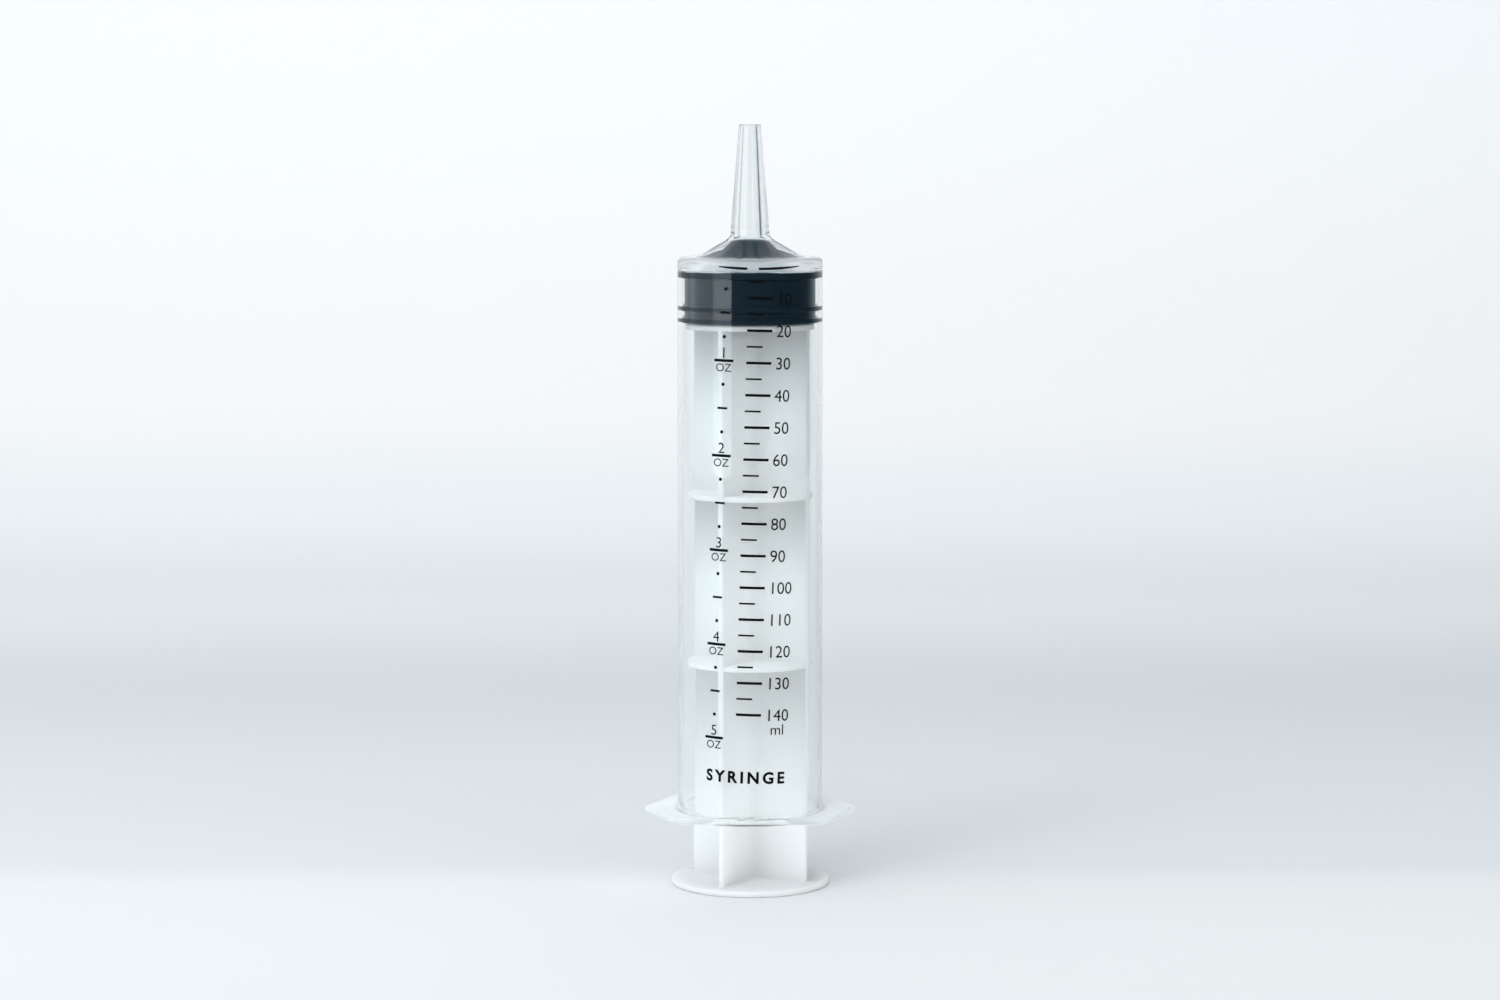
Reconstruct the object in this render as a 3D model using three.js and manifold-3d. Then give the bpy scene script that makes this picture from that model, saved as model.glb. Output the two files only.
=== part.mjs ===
// A 140 ml catheter-tip piston syringe, standing tip up on the thumb disc of its plunger,
// with the plunger fully home. Millimetres, +Z up, origin under the centre of the thumb disc.
//
// It comes apart into three pieces: the barrel with its tip and finger flange, which is one
// moulding, the plunger rod, which is one moulding with a mushroom head, and the rubber
// stopper that is stretched over that head and seals the bore.

import * as THREE from 'three';
import { mergeVertices } from 'three/addons/utils/BufferGeometryUtils.js';
import Module from 'manifold-3d';

const wasm = await Module();
wasm.setup();

// ---------------------------------------------------------------- driving dimensions

const GAP = 0.3;                    // clearance kept between any two pieces
const TURNS = 64;                   // facets round a lathed piece

// Plunger rod
const THUMB_RADIUS = 22.3;
const THUMB_THICKNESS = 1.8;
const FIN_REACH = 17.8;             // axis to the outer edge of a fin
const FIN_THICKNESS = 1.6;
const FIN_FILLET = 2.6;             // where two fins meet
const FIN_TURN = -27;               // degrees, how the rod stands in the barrel
const STIFFENER_HEIGHTS = [62.3, 109.5];
const STIFFENER_RADIUS = 17.5;
const STIFFENER_THICKNESS = 1.5;
const PUSHER_RADIUS = 17.9;         // the disc that bears on the stopper
const PUSHER_THICKNESS = 1.5;
const PUSHER_TOP = 158.1;
const NECK_RADIUS = 5;
const NECK_LENGTH = 4.4;
const HEAD_RADIUS = 8.6;
const HEAD_LENGTH = 4.2;
const HEAD_CHAMFER_HEIGHT = 1.4;    // where the head starts to taper

// Rubber stopper
const STOPPER_RADIUS = 18.1;
const RING_RADIUS = 18.7;           // sealing rings, one gap inside the bore
const RING_HEIGHTS = [[158.7, 159.8], [161.9, 163.1], [171.0, 172.5]];
const STOPPER_TOP = 180.2;
const STOPPER_NOSE_RADIUS = 4.6;

// Barrel
const BORE_RADIUS = 19;
const BARREL_RADIUS = 20.25;
const SHOULDER_HEIGHT = 176.6;      // outside of the flat annulus that ends the tube
const INNER_CONE_HEIGHT = 172.9;     // where the bore turns into the inside of the shoulder
const SHOULDER_CORNER = 1.3;
const CONE_RADIUS = 15.1;           // foot of the shoulder cone
const TIP_FOOT_RADIUS = 5.45;
const TIP_FOOT_HEIGHT = 181.8;
const TIP_END_RADIUS = 3.1;
const TIP_BORE_FOOT_RADIUS = 2.85;
const TIP_BORE_END_RADIUS = 1.65;
const OVERALL_HEIGHT = 213.2;

// Finger flange: a six-sided plate with rounded corners
const FLANGE_BOTTOM = 20.1;
const FLANGE_THICKNESS = 1.75;
const FLANGE_POINT = 30;            // axis to the point before rounding
const FLANGE_SIDE_X = 20.6;         // half length of the flat front and back edges
const FLANGE_SIDE_Y = 20.2;         // axis to the flat front and back edges
const FLANGE_POINT_ROUND = 5;
const FLANGE_CORNER_ROUND = 4;
const FLANGE_EDGE = 0.45;           // rounding of the rim

// ---------------------------------------------------------------- helpers

// A geometry as a manifold solid, with its shared vertices merged and no collapsed triangles.
function toSolid(geometry) {
  const plain = new THREE.BufferGeometry();
  plain.setAttribute('position', geometry.getAttribute('position'));
  plain.setIndex(geometry.getIndex());
  const merged = mergeVertices(plain, 1e-4);
  const index = merged.getIndex().array;
  const triangles = [];
  for (let i = 0; i < index.length; i += 3) {
    const [a, b, c] = [index[i], index[i + 1], index[i + 2]];
    if (a !== b && b !== c && c !== a) triangles.push(a, b, c);
  }
  const mesh = new wasm.Mesh({
    numProp: 3,
    vertProperties: new Float32Array(merged.getAttribute('position').array),
    triVerts: new Uint32Array(triangles),
  });
  return new wasm.Manifold(mesh);
}

function toGeometry(solid) {
  const mesh = solid.getMesh();
  const geometry = new THREE.BufferGeometry();
  geometry.setAttribute('position', new THREE.BufferAttribute(new Float32Array(mesh.vertProperties), 3));
  geometry.setIndex(new THREE.BufferAttribute(new Uint32Array(mesh.triVerts), 1));
  geometry.computeVertexNormals();
  return geometry;
}

// Turns a profile of [radius, height] points, anticlockwise, about the Z axis.
function turned(profile) {
  const points = profile.map(([radius, height]) => new THREE.Vector2(radius, height));
  const geometry = new THREE.LatheGeometry(points, TURNS);
  geometry.rotateX(Math.PI / 2);
  return toSolid(geometry);
}

function disc(radius, bottom, top) {
  return turned([[0, bottom], [radius, bottom], [radius, top], [0, top]]);
}

// A quarter-round from one angle to another, in degrees, as profile points.
function roundedCorner(centreRadius, centreHeight, radius, from, to, steps = 4) {
  const points = [];
  for (let i = 0; i <= steps; i += 1) {
    const angle = THREE.MathUtils.degToRad(from + ((to - from) * i) / steps);
    points.push([centreRadius + radius * Math.cos(angle), centreHeight + radius * Math.sin(angle)]);
  }
  return points;
}

// An outline through corner points, each rounded by its own radius.
function roundedOutline(corners, steps = 5) {
  const outline = [];
  corners.forEach(({ at, round }, i) => {
    const before = corners[(i + corners.length - 1) % corners.length].at;
    const after = corners[(i + 1) % corners.length].at;
    const toBefore = before.clone().sub(at).normalize();
    const toAfter = after.clone().sub(at).normalize();
    const half = Math.acos(toBefore.dot(toAfter)) / 2;
    const centre = toBefore.clone().add(toAfter).normalize().multiplyScalar(round / Math.sin(half)).add(at);
    const start = toBefore.clone().multiplyScalar(round / Math.tan(half)).add(at).sub(centre);
    const end = toAfter.clone().multiplyScalar(round / Math.tan(half)).add(at).sub(centre);
    const sweep = Math.atan2(start.cross(end), start.dot(end));
    for (let k = 0; k <= steps; k += 1) {
      outline.push(start.clone().rotateAround(new THREE.Vector2(), (sweep * k) / steps).add(centre));
    }
  });
  return outline;
}

// ---------------------------------------------------------------- plunger rod

// The section of the rod: four fins with a fillet in each inner corner.
function finSection() {
  const half = FIN_THICKNESS / 2;
  const corners = [];
  for (let quarter = 0; quarter < 4; quarter += 1) {
    const turn = (quarter * Math.PI) / 2;
    const place = (x, y) => new THREE.Vector2(x, y).rotateAround(new THREE.Vector2(), turn);
    corners.push({ at: place(FIN_REACH, -half), round: 0.25 });
    corners.push({ at: place(FIN_REACH, half), round: 0.25 });
    corners.push({ at: place(half, half), round: FIN_FILLET });
  }
  return new THREE.Shape(roundedOutline(corners, 4));
}

function plungerRod() {
  const finBottom = THUMB_THICKNESS / 2;
  const finTop = PUSHER_TOP - PUSHER_THICKNESS / 2;
  const fins = new THREE.ExtrudeGeometry(finSection(), { depth: finTop - finBottom, bevelEnabled: false });
  fins.translate(0, 0, finBottom);

  const rim = THUMB_THICKNESS / 2;
  const thumb = turned([
    [0, 0],
    ...roundedCorner(THUMB_RADIUS - rim, rim, rim, -90, 90, 6),
    [0, THUMB_THICKNESS],
  ]);
  const headBottom = PUSHER_TOP + NECK_LENGTH;
  const head = turned([
    [0, PUSHER_TOP - 1],
    [NECK_RADIUS, PUSHER_TOP - 1],
    [NECK_RADIUS, headBottom],
    [HEAD_RADIUS, headBottom],
    [HEAD_RADIUS, headBottom + HEAD_CHAMFER_HEIGHT],
    [NECK_RADIUS, headBottom + HEAD_LENGTH],
    [0, headBottom + HEAD_LENGTH],
  ]);
  let rod = toSolid(fins).add(thumb).add(head);
  rod = rod.add(disc(PUSHER_RADIUS, PUSHER_TOP - PUSHER_THICKNESS, PUSHER_TOP));
  for (const height of STIFFENER_HEIGHTS) {
    rod = rod.add(disc(STIFFENER_RADIUS, height, height + STIFFENER_THICKNESS));
  }
  return rod;
}

// ---------------------------------------------------------------- stopper

// A solid of revolution: three sealing rings, a conical nose that fits the shoulder,
// and a socket below that takes the mushroom head.
function stopper() {
  const bottom = PUSHER_TOP + GAP;
  const outside = [[STOPPER_RADIUS, bottom]];
  for (const [low, high] of RING_HEIGHTS) {
    outside.push([STOPPER_RADIUS, low], [RING_RADIUS, low + 0.15], [RING_RADIUS, high - 0.15]);
    outside.push([STOPPER_RADIUS, high]);
  }
  const headBottom = PUSHER_TOP + NECK_LENGTH;
  const socketTop = headBottom + HEAD_LENGTH + GAP;
  return turned([
    [0, socketTop],
    [NECK_RADIUS + GAP, socketTop],
    [HEAD_RADIUS + GAP, headBottom + HEAD_CHAMFER_HEIGHT + GAP],
    [HEAD_RADIUS + GAP, headBottom - GAP],
    [NECK_RADIUS + GAP, headBottom - GAP],
    [NECK_RADIUS + GAP, bottom],
    ...outside,
    [STOPPER_RADIUS, INNER_CONE_HEIGHT],
    [STOPPER_NOSE_RADIUS, STOPPER_TOP - 0.2],
    [STOPPER_NOSE_RADIUS - 0.6, STOPPER_TOP],
    [0, STOPPER_TOP],
  ]);
}

// ---------------------------------------------------------------- barrel

function flangePlate() {
  const corner = (x, y, round) => ({ at: new THREE.Vector2(x, y), round });
  const corners = [
    corner(FLANGE_POINT, 0, FLANGE_POINT_ROUND),
    corner(FLANGE_SIDE_X, FLANGE_SIDE_Y, FLANGE_CORNER_ROUND),
    corner(-FLANGE_SIDE_X, FLANGE_SIDE_Y, FLANGE_CORNER_ROUND),
    corner(-FLANGE_POINT, 0, FLANGE_POINT_ROUND),
    corner(-FLANGE_SIDE_X, -FLANGE_SIDE_Y, FLANGE_CORNER_ROUND),
    corner(FLANGE_SIDE_X, -FLANGE_SIDE_Y, FLANGE_CORNER_ROUND),
  ];
  const plate = new THREE.ExtrudeGeometry(new THREE.Shape(roundedOutline(corners, 6)), {
    depth: FLANGE_THICKNESS - 2 * FLANGE_EDGE,
    bevelEnabled: true,
    bevelThickness: FLANGE_EDGE,
    bevelSize: FLANGE_EDGE,
    bevelOffset: -FLANGE_EDGE,
    bevelSegments: 2,
  });
  plate.translate(0, 0, FLANGE_BOTTOM + FLANGE_EDGE);
  const hole = disc((BORE_RADIUS + BARREL_RADIUS) / 2, FLANGE_BOTTOM - 1, FLANGE_BOTTOM + FLANGE_THICKNESS + 1);
  return toSolid(plate).subtract(hole);
}

// Tube, shoulder and tip are one wall, drawn up the outside and down the inside.
function barrelWall() {
  const cornerRadius = BARREL_RADIUS - SHOULDER_CORNER;
  const innerSlope = (TIP_FOOT_HEIGHT - SHOULDER_HEIGHT) / (CONE_RADIUS - TIP_FOOT_RADIUS);
  const tipBoreFoot = INNER_CONE_HEIGHT + innerSlope * (BORE_RADIUS - TIP_BORE_FOOT_RADIUS);
  const tipRound = 0.4;
  return turned([
    [BORE_RADIUS, FLANGE_BOTTOM],
    [BARREL_RADIUS, FLANGE_BOTTOM],
    ...roundedCorner(cornerRadius, SHOULDER_HEIGHT - SHOULDER_CORNER, SHOULDER_CORNER, 0, 90),
    [CONE_RADIUS, SHOULDER_HEIGHT],
    [TIP_FOOT_RADIUS + 0.4, TIP_FOOT_HEIGHT - 0.2],
    [TIP_FOOT_RADIUS, TIP_FOOT_HEIGHT + 0.4],
    ...roundedCorner(TIP_END_RADIUS - tipRound, OVERALL_HEIGHT - tipRound, tipRound, 4, 90, 3),
    [TIP_BORE_END_RADIUS, OVERALL_HEIGHT],
    [TIP_BORE_FOOT_RADIUS, tipBoreFoot],
    [BORE_RADIUS, INNER_CONE_HEIGHT],
    [BORE_RADIUS, FLANGE_BOTTOM],
  ]);
}

// ---------------------------------------------------------------- assembly

const clearPlastic = new THREE.MeshStandardMaterial({
  color: 0xe3ebec, roughness: 0.28, metalness: 0, transparent: true, opacity: 0.45,
});
const milkyPlastic = new THREE.MeshStandardMaterial({ color: 0xe4e9e7, roughness: 0.35, metalness: 0 });
const darkRubber = new THREE.MeshStandardMaterial({ color: 0x111f2b, roughness: 0.5, metalness: 0 });

function piece(name, solid, material) {
  const mesh = new THREE.Mesh(toGeometry(solid), material);
  mesh.name = name;
  return mesh;
}

const group = new THREE.Group();

const rod = piece('plunger_rod', plungerRod(), milkyPlastic);
rod.rotation.z = THREE.MathUtils.degToRad(FIN_TURN);
group.add(rod);
group.add(piece('stopper', stopper(), darkRubber));
group.add(piece('barrel', barrelWall().add(flangePlate()), clearPlastic));

export default group;
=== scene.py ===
# %% [markdown]
# # A large piston syringe, standing tip up
#
# The object is a 140 ml syringe of the kind used to push marinade into meat. It is made of
# three mouldings: a clear barrel, a milky plunger rod and a black rubber stopper. Its plunger
# is pushed home, and it stands on the plunger's round thumb disc.
#
# The CAD model is loaded first and never moved. Each moulding is then made again with a fine
# surface in the same place, and rides on the CAD body that it stands for.

# %% Load the frame
import math

import bmesh
import bpy
from mathutils import Matrix, Vector


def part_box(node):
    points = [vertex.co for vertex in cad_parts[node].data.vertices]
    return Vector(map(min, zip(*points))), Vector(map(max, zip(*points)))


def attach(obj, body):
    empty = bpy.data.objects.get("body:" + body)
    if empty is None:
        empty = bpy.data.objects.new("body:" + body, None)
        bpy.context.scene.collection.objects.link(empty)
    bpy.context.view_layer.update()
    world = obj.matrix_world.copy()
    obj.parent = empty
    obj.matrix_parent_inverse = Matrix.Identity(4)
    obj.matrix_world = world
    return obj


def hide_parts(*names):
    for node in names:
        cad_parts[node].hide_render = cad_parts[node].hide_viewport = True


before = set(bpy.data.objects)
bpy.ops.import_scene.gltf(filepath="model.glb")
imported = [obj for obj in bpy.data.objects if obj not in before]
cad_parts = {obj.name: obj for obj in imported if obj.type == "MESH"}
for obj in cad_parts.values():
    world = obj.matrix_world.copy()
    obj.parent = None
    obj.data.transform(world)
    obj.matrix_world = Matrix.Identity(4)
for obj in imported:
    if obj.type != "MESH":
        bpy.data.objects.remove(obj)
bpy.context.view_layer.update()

# %% [markdown]
# ## Sizes
#
# Everything is drawn in millimetres and turned into metres as the last step of each piece.
# The outer sizes come from the CAD nodes, so that they can't drift apart. What the CAD model
# doesn't show from outside, such as the bore, is a named value here.

# %% Driving sizes, in millimetres
MM = 0.001
barrel_low, barrel_high = (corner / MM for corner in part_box("barrel"))
rod_low, rod_high = (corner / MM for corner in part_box("plunger_rod"))
stopper_low, stopper_high = (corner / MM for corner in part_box("stopper"))

OVERALL_HEIGHT = barrel_high.z
FLANGE_BOTTOM = barrel_low.z
FLANGE_THICKNESS = 1.75
FLANGE_HALF_LENGTH = barrel_high.x
FLANGE_HALF_WIDTH = barrel_high.y
BARREL_RADIUS = 20.25
BORE_RADIUS = 19.0
SHOULDER_HEIGHT = 176.6
INNER_CONE_HEIGHT = 172.9
INNER_SLOPE = 0.539
CONE_RADIUS = 15.1
TIP_FOOT_RADIUS = 5.45
TIP_FOOT_HEIGHT = 181.8
TIP_END_RADIUS = 3.1
TIP_BORE_FOOT_RADIUS = 2.85
TIP_BORE_END_RADIUS = 1.65

THUMB_RADIUS = 22.3
THUMB_THICKNESS = 1.8
FIN_REACH = 17.8
FIN_THICKNESS = 1.6
FIN_FILLET = 2.6
FIN_TURN = math.radians(-27)
STIFFENER_HEIGHTS = (62.3, 109.5)
STIFFENER_RADIUS = 17.5
PUSHER_RADIUS = 17.9
PUSHER_TOP = stopper_low.z - 0.3
DISC_THICKNESS = 1.5
print("overall height", round(OVERALL_HEIGHT, 1), "mm, flange", round(2 * FLANGE_HALF_LENGTH, 1), "mm long")

# %% [markdown]
# ## Helpers for turned pieces
#
# A moulding that is round is easiest to make as on a lathe: draw half of its section as a
# profile, then spin it about Z. `bmesh.ops.spin` does that, and `use_merge` closes the seam.
# Points that lie on the axis are merged afterwards, which closes the poles. Edges that are
# sharper than a limit are marked, so that smooth shading stops at them.

# %% Profile and spin helpers
def arc(centre_radius, centre_height, radius, start, end, steps=6):
    """Points on a round corner of a profile, from one angle in degrees to another."""
    angles = [math.radians(start + (end - start) * i / steps) for i in range(steps + 1)]
    return [(centre_radius + radius * math.cos(a), centre_height + radius * math.sin(a)) for a in angles]


def finished(name, mesh, material, sharp=35):
    """Shade a bmesh smooth up to a sharp angle in degrees, scale it to metres and make it an object."""
    for face in mesh.faces:
        face.smooth = True
    for edge in mesh.edges:
        edge.smooth = len(edge.link_faces) == 2 and edge.calc_face_angle(0) < math.radians(sharp)
    bmesh.ops.scale(mesh, vec=(MM, MM, MM), verts=mesh.verts)
    data = bpy.data.meshes.new(name)
    mesh.to_mesh(data)
    mesh.free()
    data.materials.append(material)
    obj = bpy.data.objects.new(name, data)
    bpy.context.scene.collection.objects.link(obj)
    return obj


def spun(profile, steps, closed=False):
    """A bmesh turned about Z from (radius, height) points; closed joins the last point to the first."""
    mesh = bmesh.new()
    verts = [mesh.verts.new((radius, 0, height)) for radius, height in profile]
    edges = [mesh.edges.new(pair) for pair in zip(verts, verts[1:])]
    if closed:
        edges.append(mesh.edges.new((verts[-1], verts[0])))
    bmesh.ops.spin(mesh, geom=verts + edges, cent=(0, 0, 0), axis=(0, 0, 1), dvec=(0, 0, 0),
                   angle=math.tau, steps=steps, use_merge=True, use_normal_flip=False,
                   use_duplicate=False)
    bmesh.ops.remove_doubles(mesh, verts=mesh.verts, dist=1e-4)
    bmesh.ops.recalc_face_normals(mesh, faces=mesh.faces)
    return mesh


# %% [markdown]
# ## Materials
#
# The barrel and the rod are both polypropylene, a plastic that is never quite as clear as
# glass, because tiny crystals in it scatter some of the light. There are two usual ways to show
# that. Subsurface scattering follows light through the plastic, which is slow and grainy behind
# a clear wall. The quicker way, used here, is to mix the clear or glossy shader with plain
# "milk": a Diffuse shader for the light that comes back and a Translucent one for the light
# that leaves on the far side. The barrel has almost no milk at the top and more lower down, in
# the flange and in the thick shoulder. The rod is mostly milk.
#
# A mould's polish is never perfectly even, so each material changes its roughness slowly over
# the piece. The rod, which is less polished, and the rubber also get a very fine ripple.

# %% Material helpers
def new_material(name):
    """A node material with a Principled shader; returns the material, its nodes, links and shader."""
    material = bpy.data.materials.new(name)
    material.use_nodes = True
    nodes, links = material.node_tree.nodes, material.node_tree.links
    return material, nodes, links, nodes["Principled BSDF"]


def noise(nodes, links, scale, stretch=(1, 1, 1), detail=3.0):
    """A noise pattern fixed to the piece, stretched along the axes, with scale per metre."""
    place = nodes.new("ShaderNodeTexCoord")
    mapping = nodes.new("ShaderNodeMapping")
    mapping.inputs["Scale"].default_value = stretch
    pattern = nodes.new("ShaderNodeTexNoise")
    pattern.inputs["Scale"].default_value = scale
    pattern.inputs["Detail"].default_value = detail
    links.new(place.outputs["Object"], mapping.inputs["Vector"])
    links.new(mapping.outputs["Vector"], pattern.inputs["Vector"])
    return pattern


def map_range(nodes, links, source, low, high, to_low=0.0, to_high=1.0):
    """Turn a value between low and high into one between to_low and to_high."""
    ranged = nodes.new("ShaderNodeMapRange")
    limits = (("From Min", low), ("From Max", high), ("To Min", to_low), ("To Max", to_high))
    for name, value in limits:
        ranged.inputs[name].default_value = value
    links.new(source, ranged.inputs["Value"])
    return ranged.outputs["Result"]


def calculated(nodes, links, operation, first, second):
    """The result of a Math node on two values."""
    node = nodes.new("ShaderNodeMath")
    node.operation = operation
    links.new(first, node.inputs[0])
    links.new(second, node.inputs[1])
    return node.outputs["Value"]


def spread(nodes, links, source, low, high):
    """Turn a noise pattern, which is mostly between 0.3 and 0.7, into a value from low to high."""
    return map_range(nodes, links, source, 0.3, 0.7, low, high)


def tinted(nodes, links, source, dark, light):
    """A colour that goes from dark to light with a pattern."""
    ramp = nodes.new("ShaderNodeValToRGB")
    ramp.color_ramp.elements[0].color = dark
    ramp.color_ramp.elements[1].color = light
    links.new(source, ramp.inputs["Fac"])
    return ramp.outputs["Color"]


def ripple(nodes, links, shader, pattern, strength, depth):
    """A bump from a pattern; depth is in metres."""
    bump = nodes.new("ShaderNodeBump")
    bump.inputs["Strength"].default_value = strength
    bump.inputs["Distance"].default_value = depth
    links.new(pattern.outputs["Fac"], bump.inputs["Height"])
    links.new(bump.outputs["Normal"], shader.inputs["Normal"])


# %% Haze and milk in the plastic
# The shares of milk, then the places in metres where each begins and where it is full.
FOOT_HAZE, FLANGE_HAZE, SHOULDER_HAZE = 0.13, 0.45, 0.42
FOOT_FROM, FOOT_TO = 0.15, 0.04
FLANGE_FROM, FLANGE_TO = 0.0203, 0.0225
SHOULDER_FROM, SHOULDER_TO = 0.1732, 0.1742
BAND_FROM, BAND_TO = 0.0155, 0.0185


def haze_amount(nodes, links):
    """How milky the barrel is: clear at the top, hazier in its foot, its flange and its shoulder."""
    place = nodes.new("ShaderNodeTexCoord").outputs["Object"]
    parts = nodes.new("ShaderNodeSeparateXYZ")
    across = nodes.new("ShaderNodeVectorMath")
    across.operation = "MULTIPLY"
    across.inputs[1].default_value = (1, 1, 0)
    reach = nodes.new("ShaderNodeVectorMath")
    reach.operation = "LENGTH"
    links.new(place, parts.inputs["Vector"])
    links.new(place, across.inputs[0])
    links.new(across.outputs["Vector"], reach.inputs[0])
    height, radius = parts.outputs["Z"], reach.outputs["Value"]
    in_foot = map_range(nodes, links, height, FOOT_FROM, FOOT_TO, 0, FOOT_HAZE)
    in_flange = map_range(nodes, links, radius, FLANGE_FROM, FLANGE_TO, 0, FLANGE_HAZE)
    high_up = map_range(nodes, links, height, SHOULDER_FROM, SHOULDER_TO, 0, SHOULDER_HAZE)
    round_the_cone = map_range(nodes, links, radius, BAND_FROM, BAND_TO)
    in_shoulder = calculated(nodes, links, "MULTIPLY", high_up, round_the_cone)
    lower = calculated(nodes, links, "ADD", in_foot, in_flange)
    return calculated(nodes, links, "ADD", lower, in_shoulder)


def milk(nodes, links, colour, through):
    """Light scattered in the plastic: part comes back and the share `through` leaves on the far side."""
    back = nodes.new("ShaderNodeBsdfDiffuse")
    on = nodes.new("ShaderNodeBsdfTranslucent")
    both = nodes.new("ShaderNodeMixShader")
    back.inputs["Color"].default_value = colour
    on.inputs["Color"].default_value = colour
    both.inputs["Fac"].default_value = through
    links.new(back.outputs["BSDF"], both.inputs[1])
    links.new(on.outputs["BSDF"], both.inputs[2])
    return both.outputs["Shader"]


# %% Clear plastic for the barrel
def clear_plastic():
    material, nodes, links, shader = new_material("clear_polypropylene")
    shader.inputs["Base Color"].default_value = (0.965, 0.985, 0.98, 1)
    shader.inputs["IOR"].default_value = 1.49
    shader.inputs["Transmission Weight"].default_value = 1.0
    cloud = noise(nodes, links, 90, (1, 1, 0.25))
    links.new(spread(nodes, links, cloud.outputs["Fac"], 0.004, 0.012), shader.inputs["Roughness"])
    mixed = nodes.new("ShaderNodeMixShader")
    links.new(haze_amount(nodes, links), mixed.inputs["Fac"])
    links.new(shader.outputs["BSDF"], mixed.inputs[1])
    links.new(milk(nodes, links, (0.9, 0.925, 0.925, 1), 0.5), mixed.inputs[2])
    links.new(mixed.outputs["Shader"], nodes["Material Output"].inputs["Surface"])
    return material


# %% Milky plastic for the rod
def milky_plastic():
    material, nodes, links, shader = new_material("milky_polypropylene")
    shader.inputs["Base Color"].default_value = (0.97, 0.985, 0.98, 1)
    shader.inputs["IOR"].default_value = 1.4
    grain = noise(nodes, links, 140, (1, 1, 0.3))
    links.new(spread(nodes, links, grain.outputs["Fac"], 0.3, 0.42), shader.inputs["Roughness"])
    ripple(nodes, links, shader, noise(nodes, links, 900, (1, 1, 0.5), 2), 0.2, 0.00002)
    mixed = nodes.new("ShaderNodeMixShader")
    mixed.inputs["Fac"].default_value = 0.7
    links.new(shader.outputs["BSDF"], mixed.inputs[1])
    links.new(milk(nodes, links, (0.955, 0.965, 0.965, 1), 0.5), mixed.inputs[2])
    links.new(mixed.outputs["Shader"], nodes["Material Output"].inputs["Surface"])
    return material


# %% Black rubber for the stopper
def dark_rubber():
    material, nodes, links, shader = new_material("dark_rubber")
    mottle = noise(nodes, links, 120).outputs["Fac"]
    tint = tinted(nodes, links, mottle, (0.002, 0.009, 0.018, 1), (0.004, 0.015, 0.027, 1))
    links.new(tint, shader.inputs["Base Color"])
    links.new(spread(nodes, links, mottle, 0.38, 0.5), shader.inputs["Roughness"])
    shader.inputs["Specular IOR Level"].default_value = 0.2
    ripple(nodes, links, shader, noise(nodes, links, 1500, (1, 1, 1), 2), 0.3, 0.00003)
    return material


# %% Printed ink for the scale
def printed_ink():
    material, nodes, links, shader = new_material("printed_ink")
    speckle = noise(nodes, links, 2500).outputs["Fac"]
    tint = tinted(nodes, links, speckle, (0.0005, 0.0005, 0.0007, 1), (0.002, 0.002, 0.003, 1))
    shader.inputs["Specular IOR Level"].default_value = 0.1
    links.new(tint, shader.inputs["Base Color"])
    links.new(spread(nodes, links, speckle, 0.4, 0.6), shader.inputs["Roughness"])
    return material


clear = clear_plastic()
milky = milky_plastic()
rubber = dark_rubber()
ink = printed_ink()
print("materials", [m.name for m in (clear, milky, rubber, ink)])

# %% [markdown]
# ## The barrel
#
# One moulding: finger flange, tube, shoulder and tapered tip, with a bore through all of it.
# Its section goes up the outside and down the inside, so that the wall has a real thickness
# and light bends twice in it, as in the real tube. The flange is spun with the rest as a
# round plate, and its rim is then pushed in or out to the six-sided outline. That keeps the
# whole barrel one skin, with no join where the flange meets the tube.
#
# It has a flaw at the flange's two flat sides, which are no wider than the tube. The rings of
# points near the tube stay where they are while the rim moves in past them, so the skin folds
# over itself there and thin sheets stand out about 2 mm past the rim. A cleaner way would
# move every ring of the plate in by a share of the same amount.
#
# Smooth shading blends the direction of a face from corner to corner. A long face that ends at
# a small fillet would therefore look bent over its whole length, so the tube and the tip each
# have an extra ring of points just before their ends.
#
# A ray tracer can't follow light that is bent through a clear wall on to what stands inside it.
# The barrel is therefore kept out of the shadows, and light reaches the rod as if the wall
# weren't there.

# %% The outline of the flange
FLANGE_POINT, POINT_ROUND = 30.0, 5.0
FLANGE_SIDE_X, CORNER_ROUND = 20.6, 4.0


def flange_corners():
    """The six corners of the flange before rounding, anticlockwise, each with its radius."""
    x, y = FLANGE_SIDE_X, FLANGE_HALF_WIDTH
    return [((FLANGE_POINT, 0), POINT_ROUND), ((x, y), CORNER_ROUND), ((-x, y), CORNER_ROUND),
            ((-FLANGE_POINT, 0), POINT_ROUND), ((-x, -y), CORNER_ROUND), ((x, -y), CORNER_ROUND)]


def rounded_outline(corners, steps=12):
    """Points round a polygon whose corners are replaced by arcs."""
    outline = []
    for index, (place, radius) in enumerate(corners):
        here = Vector(place)
        before = (Vector(corners[index - 1][0]) - here).normalized()
        after = (Vector(corners[(index + 1) % len(corners)][0]) - here).normalized()
        half = before.angle(after) / 2
        centre = here + (before + after).normalized() * radius / math.sin(half)
        start = here + before * radius / math.tan(half) - centre
        turn = math.pi - 2 * half
        outline += [centre + Matrix.Rotation(turn * i / steps, 2) @ start for i in range(steps + 1)]
    return outline


flange_outline = rounded_outline(flange_corners())


def flange_reach(angle):
    """How far the outline reaches from the axis in a direction."""
    direction = Vector((math.cos(angle), math.sin(angle)))
    for a, b in zip(flange_outline, flange_outline[1:] + flange_outline[:1]):
        if a.cross(direction) >= -1e-9 and b.cross(direction) <= 1e-9 and direction.dot(a + b) > 0:
            return a.cross(b - a) / direction.cross(b - a)
    return FLANGE_HALF_WIDTH


print("flange reaches", round(flange_reach(0), 2), "and", round(flange_reach(math.pi / 2), 2), "mm")

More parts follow.
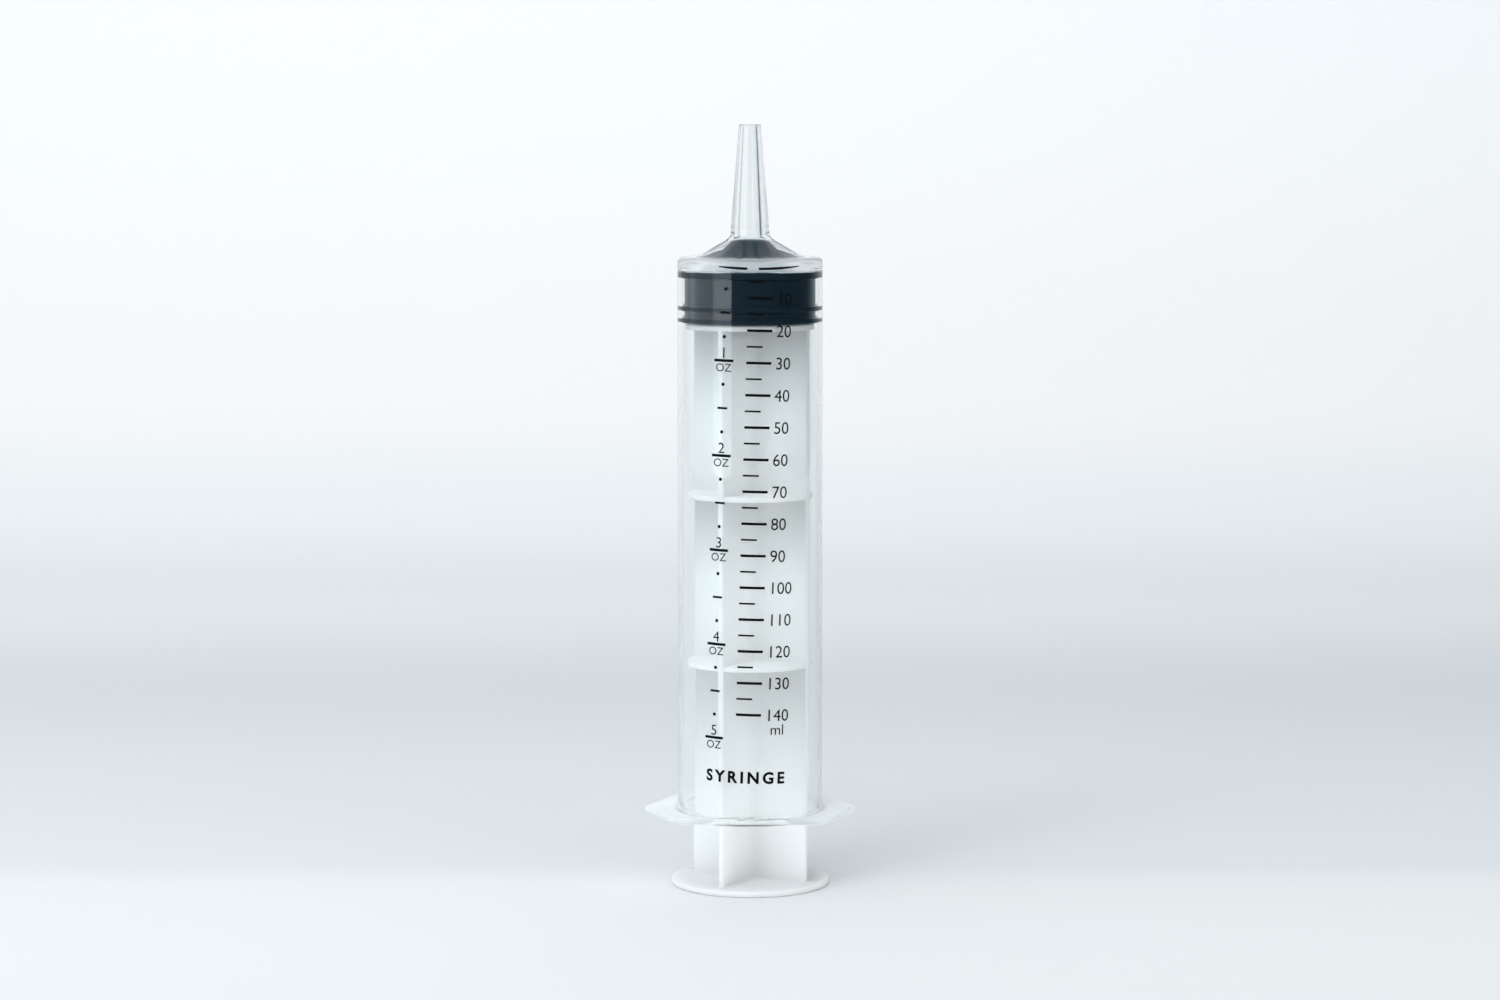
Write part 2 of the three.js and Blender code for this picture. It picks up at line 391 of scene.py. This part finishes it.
# %% The barrel's section
FLANGE_PLATE_RADIUS = 24.0
STILL_RADIUS = BARREL_RADIUS + 2.2
RIM = FLANGE_THICKNESS / 2
ROOT_FILLET, SHOULDER_ROUND, TIP_LIP, TIP_BORE_LIP = 0.9, 1.3, 0.45, 0.2
flange_top = FLANGE_BOTTOM + FLANGE_THICKNESS
cone_slope = (TIP_FOOT_HEIGHT - SHOULDER_HEIGHT) / (CONE_RADIUS - TIP_FOOT_RADIUS)
tip_bore_foot = INNER_CONE_HEIGHT + INNER_SLOPE * (BORE_RADIUS - TIP_BORE_FOOT_RADIUS)


def along_tip(share):
    """A point on the taper of the tip, from its foot at 0 to its end at 1."""
    foot = Vector((TIP_FOOT_RADIUS - 0.04, TIP_FOOT_HEIGHT + 1.6))
    end = Vector((TIP_END_RADIUS, OVERALL_HEIGHT - 0.4))
    return tuple(foot.lerp(end, share))


barrel_profile = [
    (BORE_RADIUS + 0.4, FLANGE_BOTTOM),
    (BORE_RADIUS + 1.6, FLANGE_BOTTOM),
    (BORE_RADIUS + 3.2, FLANGE_BOTTOM),
    *arc(FLANGE_PLATE_RADIUS - RIM, FLANGE_BOTTOM + RIM, RIM, -90, 90, 10),
    (STILL_RADIUS, flange_top),
    *arc(BARREL_RADIUS + ROOT_FILLET, flange_top + ROOT_FILLET, ROOT_FILLET, -90, -180, 5),
    (BARREL_RADIUS, flange_top + 3),
    (BARREL_RADIUS, SHOULDER_HEIGHT - 4),
    *arc(BARREL_RADIUS - SHOULDER_ROUND, SHOULDER_HEIGHT - SHOULDER_ROUND, SHOULDER_ROUND, 0, 90, 8),
    (CONE_RADIUS + 0.9, SHOULDER_HEIGHT),
    (CONE_RADIUS, SHOULDER_HEIGHT + 0.12),
    (CONE_RADIUS - 0.8, SHOULDER_HEIGHT + 0.12 + 0.7 * cone_slope),
    (TIP_FOOT_RADIUS + 1.6, TIP_FOOT_HEIGHT - 1.6 * cone_slope + 0.15),
    (TIP_FOOT_RADIUS + 0.55, TIP_FOOT_HEIGHT + 0.05),
    (TIP_FOOT_RADIUS + 0.1, TIP_FOOT_HEIGHT + 0.7),
    (TIP_FOOT_RADIUS - 0.04, TIP_FOOT_HEIGHT + 1.6),
    along_tip(1 / 12),
    along_tip(11 / 12),
    along_tip(0.98),
    *arc(TIP_END_RADIUS - TIP_LIP, OVERALL_HEIGHT - TIP_LIP, TIP_LIP, 4, 90, 6),
    *arc(TIP_BORE_END_RADIUS + TIP_BORE_LIP, OVERALL_HEIGHT - TIP_BORE_LIP, TIP_BORE_LIP, 90, 180, 3),
    (TIP_BORE_END_RADIUS + 0.06, OVERALL_HEIGHT - 1.5),
    (TIP_BORE_FOOT_RADIUS - 0.06, tip_bore_foot + 2.4),
    (TIP_BORE_FOOT_RADIUS, tip_bore_foot + 0.9),
    (TIP_BORE_FOOT_RADIUS + 0.5, tip_bore_foot - 0.1),
    (BORE_RADIUS - 0.25, INNER_CONE_HEIGHT + 0.25 * INNER_SLOPE - 0.02),
    (BORE_RADIUS, INNER_CONE_HEIGHT - 0.2),
    (BORE_RADIUS, INNER_CONE_HEIGHT - 1.2),
    (BORE_RADIUS, FLANGE_BOTTOM + 2.4),
    (BORE_RADIUS, FLANGE_BOTTOM + 0.4),
]


def make_barrel():
    mesh = spun(barrel_profile, steps=256, closed=True)
    for vert in mesh.verts:
        reach = Vector(vert.co.xy)
        if reach.length > STILL_RADIUS and vert.co.z < flange_top + 0.01:
            stretch = flange_reach(math.atan2(reach.y, reach.x)) - FLANGE_PLATE_RADIUS
            vert.co.xy = reach.normalized() * (reach.length + stretch)
    return finished("barrel_body", mesh, clear, sharp=50)


barrel = make_barrel()
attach(barrel, "barrel")
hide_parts("barrel")
barrel.visible_shadow = False
print("barrel faces", len(barrel.data.polygons))

# %% [markdown]
# ## The plunger rod
#
# The fins are one cross-shaped outline pulled up to the full length of the rod, with round
# fillets in the inner corners. The thumb disc, the two stiffening discs, the pusher disc and
# the mushroom head are turned pieces. They are joined into one skin by a Boolean, because
# milky plastic shows every hidden wall that is left inside it.

# %% The cross-shaped section
def fin_section():
    """Corner points of the four fins, with fillets between them, anticlockwise."""
    half = FIN_THICKNESS / 2
    fillet_centre = half + FIN_FILLET
    quarter = [(FIN_REACH, -half + 0.3), (FIN_REACH, half - 0.3), (FIN_REACH - 0.3, half)]
    quarter += arc(fillet_centre, fillet_centre, FIN_FILLET, 270, 180, 6)
    quarter += [(half, FIN_REACH - 0.3)]
    points = []
    for turn in range(4):
        spin = Matrix.Rotation(turn * math.pi / 2 + FIN_TURN, 2)
        points += [spin @ Vector(p) for p in quarter]
    return points


def make_fins(bottom, top):
    mesh = bmesh.new()
    face = mesh.faces.new([mesh.verts.new((x, y, bottom)) for x, y in fin_section()])
    pulled = bmesh.ops.extrude_face_region(mesh, geom=[face])
    raised = [v for v in pulled["geom"] if isinstance(v, bmesh.types.BMVert)]
    bmesh.ops.translate(mesh, vec=(0, 0, top - bottom), verts=raised)
    bmesh.ops.recalc_face_normals(mesh, faces=mesh.faces)
    return finished("fins", mesh, milky)


# %% The turned discs and the head
def disc_profile(radius, bottom, thickness, edge=0.4):
    """The section of a disc with rounded edges, from the axis and back to it."""
    top = bottom + thickness
    return [(0, bottom), *arc(radius - edge, bottom + edge, edge, -90, 0, 4),
            *arc(radius - edge, top - edge, edge, 0, 90, 4), (0, top)]


def make_discs():
    rim = THUMB_THICKNESS / 2
    profiles = {"thumb": [(0, 0), *arc(THUMB_RADIUS - rim, rim, rim, -90, 90, 10),
                          (0, THUMB_THICKNESS)],
                "pusher": disc_profile(PUSHER_RADIUS, PUSHER_TOP - DISC_THICKNESS, DISC_THICKNESS)}
    for number, height in enumerate(STIFFENER_HEIGHTS):
        profiles[f"stiffener_{number}"] = disc_profile(STIFFENER_RADIUS, height, DISC_THICKNESS)
    head = rod_high.z
    profiles["head"] = [(0, PUSHER_TOP - 1), (5, PUSHER_TOP - 1), (5, head - 4.2), (8.6, head - 4.2),
                        (8.6, head - 2.8), (5, head), (0, head)]
    return [finished(name, spun(profile, 128), milky) for name, profile in profiles.items()]


# %% Join the rod into one skin
def joined(base, others):
    """Unite base with the other objects by Boolean modifiers, apply them and remove the others."""
    for other in others:
        union = base.modifiers.new("union", "BOOLEAN")
        union.operation = "UNION"
        union.solver = "EXACT"
        union.object = other
    bpy.context.view_layer.update()
    evaluated = base.evaluated_get(bpy.context.evaluated_depsgraph_get())
    data = bpy.data.meshes.new_from_object(evaluated)
    base.modifiers.clear()
    base.data = data
    for other in others:
        bpy.data.objects.remove(other)
    return base


def make_rod():
    rod = make_fins(THUMB_THICKNESS / 2, PUSHER_TOP - DISC_THICKNESS / 2)
    rod = joined(rod, make_discs())
    rod.name = "rod_body"
    return rod


rod = make_rod()
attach(rod, "rod")
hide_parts("plunger_rod")
print("rod faces", len(rod.data.polygons))

# %% [markdown]
# ## The stopper
#
# A rubber moulding with rounded sealing rings, a hollow that holds the head of the rod, and a
# shallow cone for a nose, with a flat ring round it. It is spun, like the barrel.
#
# Where rubber is squeezed against clear plastic there is no film of air between them, so light
# that meets the wall goes into the rubber and the ring looks black right across the tube. A
# small gap would mirror the surroundings instead. The rings are therefore a fiftieth of a
# millimetre wider than the bore, as if squeezed into it.

# %% The stopper's section
BODY_RADIUS = 18.15
RING_RADIUS = BORE_RADIUS + 0.02
RINGS = ((158.75, 159.75), (162.0, 163.05), (171.0, 172.45))
CONE_FOOT_RADIUS, CONE_FOOT_HEIGHT = 10.4, 172.7
NOSE_RADIUS = 4.6


def ring_section(low, high):
    """A sealing ring: a flat that bears on the bore, with a rounded shoulder above and below it."""
    rise = RING_RADIUS - BODY_RADIUS
    lower = [(RING_RADIUS - rise * (1 - math.cos(t)), low - 0.35 * math.sin(t)) for t in (1.5, 1.0, 0.5)]
    upper = [(radius, low + high - height) for radius, height in reversed(lower)]
    return [*lower, (RING_RADIUS, low), (RING_RADIUS, high), *upper]


def make_stopper():
    bottom, top = stopper_low.z, stopper_high.z
    neck, head, head_foot = 5.3, 8.9, PUSHER_TOP + 4.1
    profile = [(0, head_foot + 4.8), (neck, head_foot + 4.8), (head, head_foot + 2.0),
               (head, head_foot), (neck, head_foot), (neck, bottom), (BODY_RADIUS - 0.3, bottom)]
    for low, high in RINGS:
        profile += ring_section(low, high)
    profile += [(BODY_RADIUS - 0.3, CONE_FOOT_HEIGHT - 0.1), (CONE_FOOT_RADIUS + 0.7, CONE_FOOT_HEIGHT),
                (CONE_FOOT_RADIUS, CONE_FOOT_HEIGHT + 0.3), (NOSE_RADIUS + 0.8, top - 0.55),
                (NOSE_RADIUS + 0.1, top - 0.22), (NOSE_RADIUS - 0.7, top), (0, top)]
    return finished("stopper_body", spun(profile, 192), rubber, sharp=45)


stopper = make_stopper()
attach(stopper, "stopper")
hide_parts("stopper")
print("stopper faces", len(stopper.data.polygons))

# %% [markdown]
# ## The printed scale
#
# The scale is ink on the outside of the barrel. It is drawn flat first, as on the printing
# plate: x runs round the barrel and z up it. Each mark is then wrapped on the tube by turning
# x into an angle. The printing is turned by a degree or so, as on a real barrel, where it
# never sits quite square.

# %% Where the scale sits
ZERO_HEIGHT = 174.88
MM_PER_ML = 1000 / (math.pi * (BORE_RADIUS - 0.025) ** 2)
ML_PER_OUNCE = 29.57
PRINT_RADIUS = BARREL_RADIUS + 0.015
INK_THICKNESS = 0.02
PRINT_TURN = math.radians(-1.7)
PRINT_CENTRE = Vector((-2.6, 108.0))
print("1 ml is", round(MM_PER_ML, 4), "mm")


def height_of(millilitres):
    return ZERO_HEIGHT - millilitres * MM_PER_ML


# %% Flat drawing helpers
def flat_bar(mesh, x, z, width, height):
    """A bar on the printing plate from x to the right, centred on z, in pieces narrow enough to bend."""
    steps = max(1, math.ceil(width / 0.5))
    made = bmesh.ops.create_grid(mesh, x_segments=steps, y_segments=1, size=0.5)
    bmesh.ops.scale(mesh, vec=(width, 1, 1), verts=made["verts"])
    for vert in made["verts"]:
        vert.co = Vector((vert.co.x + x + width / 2, 0, vert.co.y * height + z))


def flat_dot(mesh, x, z, diameter):
    made = bmesh.ops.create_circle(mesh, cap_ends=True, segments=20, radius=diameter / 2)
    for vert in made["verts"]:
        vert.co = Vector((vert.co.x + x, 0, vert.co.y + z))


def flat_text(mesh, words, x, z, height, weight=0.0, align="LEFT", spacing=1.0):
    """Figures on the printing plate, with their capital height in millimetres."""
    curve = bpy.data.curves.new("figures", "FONT")
    curve.body = words
    curve.align_x = align
    curve.size = height / 0.7
    curve.offset = weight
    curve.space_character = spacing
    curve.resolution_u = 6
    holder = bpy.data.objects.new("figures", curve)
    bpy.context.scene.collection.objects.link(holder)
    bpy.context.view_layer.update()
    data = bpy.data.meshes.new_from_object(holder.evaluated_get(bpy.context.evaluated_depsgraph_get()))
    before = set(mesh.verts)
    mesh.from_mesh(data)
    placed = [v for v in mesh.verts if v not in before]
    for vert in placed:
        vert.co = Vector((vert.co.x + x, 0, vert.co.y + z - height / 2))
    bpy.data.objects.remove(holder)
    bpy.data.meshes.remove(data)
    bpy.data.curves.remove(curve)


def wrapped(name, mesh, turn=PRINT_TURN):
    """Turn the plate, cut it into narrow strips, bend it round the barrel and give the ink its thickness."""
    centre = Vector((PRINT_CENTRE.x, 0, PRINT_CENTRE.y))
    bmesh.ops.remove_doubles(mesh, verts=mesh.verts, dist=1e-4)
    bmesh.ops.rotate(mesh, cent=centre, matrix=Matrix.Rotation(-turn, 3, "Y"), verts=mesh.verts)
    left = min(v.co.x for v in mesh.verts)
    right = max(v.co.x for v in mesh.verts)
    cuts = math.ceil((right - left) / 0.6)
    for cut in range(1, cuts):
        at = left + (right - left) * cut / cuts
        bmesh.ops.bisect_plane(mesh, geom=list(mesh.verts) + list(mesh.edges) + list(mesh.faces),
                               plane_co=(at, 0, 0), plane_no=(1, 0, 0), dist=1e-5)
    for face in mesh.faces:
        if face.normal.y > 0:
            face.normal_flip()
    raised = bmesh.ops.extrude_face_region(mesh, geom=list(mesh.faces), use_keep_orig=True)
    outer = {v for v in raised["geom"] if isinstance(v, bmesh.types.BMVert)}
    for vert in mesh.verts:
        radius = PRINT_RADIUS + (INK_THICKNESS if vert in outer else 0)
        angle = vert.co.x / PRINT_RADIUS
        vert.co = Vector((radius * math.sin(angle), -radius * math.cos(angle), vert.co.z))
    bmesh.ops.recalc_face_normals(mesh, faces=mesh.faces)
    obj = finished(name, mesh, ink, sharp=30)
    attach(obj, "barrel")
    return obj


# %% The millilitre scale
ML_LEFT = -2.25
LONG_MARK = 7.0
SHORT_MARK = 4.4


def millilitre_scale():
    mesh = bmesh.new()
    for millilitres in range(5, 141, 5):
        tens = millilitres % 10 == 0
        width, height = (LONG_MARK, 0.72) if tens else (SHORT_MARK, 0.5)
        flat_bar(mesh, ML_LEFT, height_of(millilitres), width, height)
        if tens:
            flat_text(mesh, str(millilitres), ML_LEFT + LONG_MARK + 1.1, height_of(millilitres), 3.3)
    flat_text(mesh, "ml", ML_LEFT + LONG_MARK + 2.6, height_of(140) - 4.0, 3.0)
    return wrapped("millilitre_scale", mesh)


# %% The ounce scale
OUNCE_CENTRE = -8.6


def ounce_scale():
    mesh = bmesh.new()
    for quarters in range(1, 21):
        height = height_of(quarters * ML_PER_OUNCE / 4)
        if quarters % 4 == 0:
            flat_bar(mesh, OUNCE_CENTRE - 2.8, height, 5.6, 0.75)
            flat_text(mesh, str(quarters // 4), OUNCE_CENTRE, height + 2.15, 2.9, align="CENTER")
            flat_text(mesh, "OZ", OUNCE_CENTRE, height - 1.9, 2.2, align="CENTER")
        elif quarters % 4 == 2:
            flat_bar(mesh, OUNCE_CENTRE - 1.45, height, 2.9, 0.6)
        else:
            flat_dot(mesh, OUNCE_CENTRE, height, 0.95)
    return wrapped("ounce_scale", mesh)


# %% The zero line and the lettering below the scale
ZERO_ARCS = ((-8.8, -0.7), (14.6, 2.4))
ZERO_ARC_HEIGHT = 173.95
ZERO_STEPS = 16
BOW_CENTRE, BOW_REACH, BOW_RISE = 2.9, 11.8, 0.6
THIN_HALF, THICKER_BY = 0.14, 0.2


def zero_line():
    """Two bowed strokes with a gap between them; each is thin at its outer end."""
    mesh = bmesh.new()
    for outer, inner in ZERO_ARCS:
        rows = []
        for step in range(ZERO_STEPS + 1):
            x = outer + (inner - outer) * step / ZERO_STEPS
            z = ZERO_ARC_HEIGHT + BOW_RISE * ((x - BOW_CENTRE) / BOW_REACH) ** 2
            half = THIN_HALF + THICKER_BY * min(1, 2 * step / ZERO_STEPS)
            rows.append([mesh.verts.new((x, 0, z - half)), mesh.verts.new((x, 0, z + half))])
        for (a, b), (c, d) in zip(rows, rows[1:]):
            mesh.faces.new((a, c, d, b))
    return wrapped("zero_line", mesh, turn=0)


def lettering():
    mesh = bmesh.new()
    flat_text(mesh, "SYRINGE", 0.7, 33.6, 3.1, weight=0.16, align="CENTER", spacing=1.4)
    return wrapped("lettering", mesh)


prints = [millilitre_scale(), ounce_scale(), zero_line(), lettering()]
print("ink faces", [len(piece.data.polygons) for piece in prints])

# %% [markdown]
# ## Floor, light and camera
#
# The syringe stands on a pale sheet that curves up behind it, so there is no horizon. The
# paper's colour is painted lighter and darker from front to back: a painted fall-off of the
# light, brightest just in front of the syringe, a painted shade band behind it and a painted
# lighter band high on the curve.
#
# Clear plastic and black rubber show what is round them more than the light that falls on
# them, so most of the look comes from what they mirror. Two tall boxes on the left are seen in
# the rubber as one strip with a sharp edge. The other boxes only light: they are hidden from
# mirrored and bent rays, or they would show as false strips. The surroundings are a world that
# a mirrored ray finds dark in front and pale behind and above, while a ray that only passes
# through the plastic finds it pale all round.

# %% The pale sweep
# Painted light and shade on the paper, front to back: a place in y in metres, a grey and a tint. The greys
# paint the light falling off, brightest just in front of the syringe, a painted shade band behind it and a
# painted lighter band high on the sweep; the cool tint goes with the painted shade and the warm one with the
# painted light.
WARM, COOL, MIDDLE = (1.0, 0.985, 0.97), (0.95, 0.98, 1.0), (0.985, 0.99, 0.99)
PAINTED_PAPER_LIGHT = ((-1.3, 0.62, MIDDLE), (-0.6, 0.64, MIDDLE), (-0.3, 0.66, MIDDLE),
               (-0.06, 0.715, MIDDLE), (-0.01, 0.715, MIDDLE), (0.03, 0.67, COOL), (0.14, 0.66, COOL),
               (0.335, 0.63, COOL), (0.625, 0.735, MIDDLE), (0.985, 0.84, MIDDLE), (1.15, 0.90, WARM),
               (1.5, 0.765, WARM))


def pale_paper():
    """Matt paper whose colour carries the painted light and shade listed above."""
    material, nodes, links, shader = new_material("pale_paper")
    place = nodes.new("ShaderNodeTexCoord")
    split = nodes.new("ShaderNodeSeparateXYZ")
    front, back = PAINTED_PAPER_LIGHT[0][0], PAINTED_PAPER_LIGHT[-1][0]
    # This ramp paints light and shade into the paper's colour, from front to back.
    painted_light_ramp = nodes.new("ShaderNodeValToRGB")
    painted_light_ramp.color_ramp.interpolation = "EASE"
    for index, (y, grey, tint) in enumerate(PAINTED_PAPER_LIGHT):
        position = (y - front) / (back - front)
        stop = painted_light_ramp.color_ramp.elements[0] if index == 0 else painted_light_ramp.color_ramp.elements.new(position)
        stop.color = (*(grey * channel for channel in tint), 1)
    painted_light_ramp.color_ramp.elements.remove(painted_light_ramp.color_ramp.elements[len(PAINTED_PAPER_LIGHT)])
    links.new(place.outputs["Object"], split.inputs["Vector"])
    links.new(map_range(nodes, links, split.outputs["Y"], front, back), painted_light_ramp.inputs["Fac"])
    links.new(painted_light_ramp.outputs["Color"], shader.inputs["Base Color"])
    shader.inputs["Roughness"].default_value = 0.8
    shader.inputs["Specular IOR Level"].default_value = 0.1
    return material


def make_sweep(name, section, paper):
    """A sheet over (y, z) points in metres, wide enough to fill the view but not the sides."""
    wide = 1.2
    mesh = bmesh.new()
    verts = [mesh.verts.new((-wide, y, z)) for y, z in section]
    edges = [mesh.edges.new(pair) for pair in zip(verts, verts[1:])]
    pulled = bmesh.ops.extrude_edge_only(mesh, edges=edges)
    bmesh.ops.translate(mesh, vec=(2 * wide, 0, 0),
                        verts=[v for v in pulled["geom"] if isinstance(v, bmesh.types.BMVert)])
    bmesh.ops.scale(mesh, vec=(1 / MM, 1 / MM, 1 / MM), verts=mesh.verts)
    sheet = finished(name, mesh, paper)
    return sheet


BEND, BACK, FRONT, TALL = 0.5, 0.9, -1.3, 2.0
paper = pale_paper()
curve = [(BACK + BEND * math.sin(a), BEND - BEND * math.cos(a))
         for a in (math.radians(d) for d in range(6, 91, 6))]
make_sweep("sweep", [(FRONT, 0), (BACK, 0), *curve, (BACK + BEND, TALL)], paper)


# %% Soft lights
def soft_light(name, place, target, size, power, colour=(1, 1, 1)):
    lamp = bpy.data.lights.new(name, "AREA")
    lamp.shape = "RECTANGLE"
    lamp.size, lamp.size_y = size
    lamp.energy = power
    lamp.color = colour
    obj = bpy.data.objects.new(name, lamp)
    obj.location = place
    obj.rotation_euler = (Vector(target) - Vector(place)).to_track_quat("-Z", "Y").to_euler()
    bpy.context.scene.collection.objects.link(obj)
    return obj


def unseen(lamp):
    """Keep a light from showing in the plastic, so that it only lights."""
    lamp.visible_glossy = lamp.visible_transmission = False


middle = (0, 0, OVERALL_HEIGHT * MM / 2)
soft_light("left_front_box", (-0.72, -0.72, 0.62), (0, 0, 0.62), (0.57, 1.2), 3.6, (0.85, 0.94, 1.0))
soft_light("left_box", (-1.0, -0.09, 0.62), (0, 0, 0.62), (0.9, 1.2), 2.6, (0.87, 0.95, 1.0))
unseen(soft_light("top_box", (-0.4, 0.3, 1.6), (0, 0.4, 0), (2.8, 2.8), 14, (1, 0.975, 0.945)))
unseen(soft_light("front_box", (-0.4, -0.9, 1.2), middle, (0.9, 0.7), 6.5))
unseen(soft_light("right_box", (0.75, -0.85, 0.2), middle, (0.8, 0.5), 4, (1, 0.98, 0.95)))


# %% The studio round the set
def studio():
    """Dark in front and pale behind for what is mirrored, even for what lights, pale where it is seen."""
    world = bpy.data.worlds.new("studio")
    world.use_nodes = True
    nodes, links = world.node_tree.nodes, world.node_tree.links
    background = nodes["Background"]
    direction = nodes.new("ShaderNodeTexCoord")
    behind = nodes.new("ShaderNodeVectorMath")
    behind.operation = "DOT_PRODUCT"
    behind.inputs[1].default_value = (-0.15, 0.99, 0)
    links.new(direction.outputs["Generated"], behind.inputs[0])
    from_behind = map_range(nodes, links, behind.outputs["Value"], 0.15, 0.55, 0.0, 1.0)
    parts = nodes.new("ShaderNodeSeparateXYZ")
    links.new(direction.outputs["Generated"], parts.inputs["Vector"])
    from_above = map_range(nodes, links, parts.outputs["Z"], 0.2, 0.5, 0.0, 0.6)
    light_side = calculated(nodes, links, "MAXIMUM", from_behind, from_above)
    mirrored = map_range(nodes, links, light_side, 0, 1, 0.035, 0.68)
    ray = nodes.new("ShaderNodeLightPath")
    lighting = map_range(nodes, links, ray.outputs["Diffuse Depth"], 0, 1, 0, 0.6)
    open_view = map_range(nodes, links, ray.outputs["Diffuse Depth"], 0, 1, 0.85, 0.6)
    unmirrored = map_range(nodes, links, ray.outputs["Glossy Depth"], 0, 1, 1, 0)
    seen = calculated(nodes, links, "MULTIPLY", open_view, unmirrored)
    lit_or_mirrored = calculated(nodes, links, "MAXIMUM", mirrored, lighting)
    strength = calculated(nodes, links, "MAXIMUM", lit_or_mirrored, seen)
    links.new(strength, background.inputs["Strength"])
    tint = nodes.new("ShaderNodeValToRGB")
    tint.color_ramp.elements[0].color = (0.35, 0.7, 1, 1)
    tint.color_ramp.elements[1].color = (0.94, 0.97, 1, 1)
    tint.color_ramp.elements[1].position = 0.72
    links.new(strength, tint.inputs["Fac"])
    links.new(tint.outputs["Color"], background.inputs["Color"])
    return world


bpy.context.scene.world = studio()
bpy.context.scene.view_settings.view_transform = "Standard"

# %% The camera
CAMERA_DISTANCE = 0.975
CAMERA_HEIGHT = 0.208
CAMERA_PITCH = math.radians(5.82)
lens = bpy.data.cameras.new("camera")
lens.lens = 84
lens.sensor_width = 36
camera = bpy.data.objects.new("camera", lens)
camera.location = (0, -CAMERA_DISTANCE, CAMERA_HEIGHT)
camera.rotation_euler = (math.pi / 2 - CAMERA_PITCH, 0, 0)
bpy.context.scene.collection.objects.link(camera)
bpy.context.scene.camera = camera

# %% Finish
bpy.context.view_layer.update()
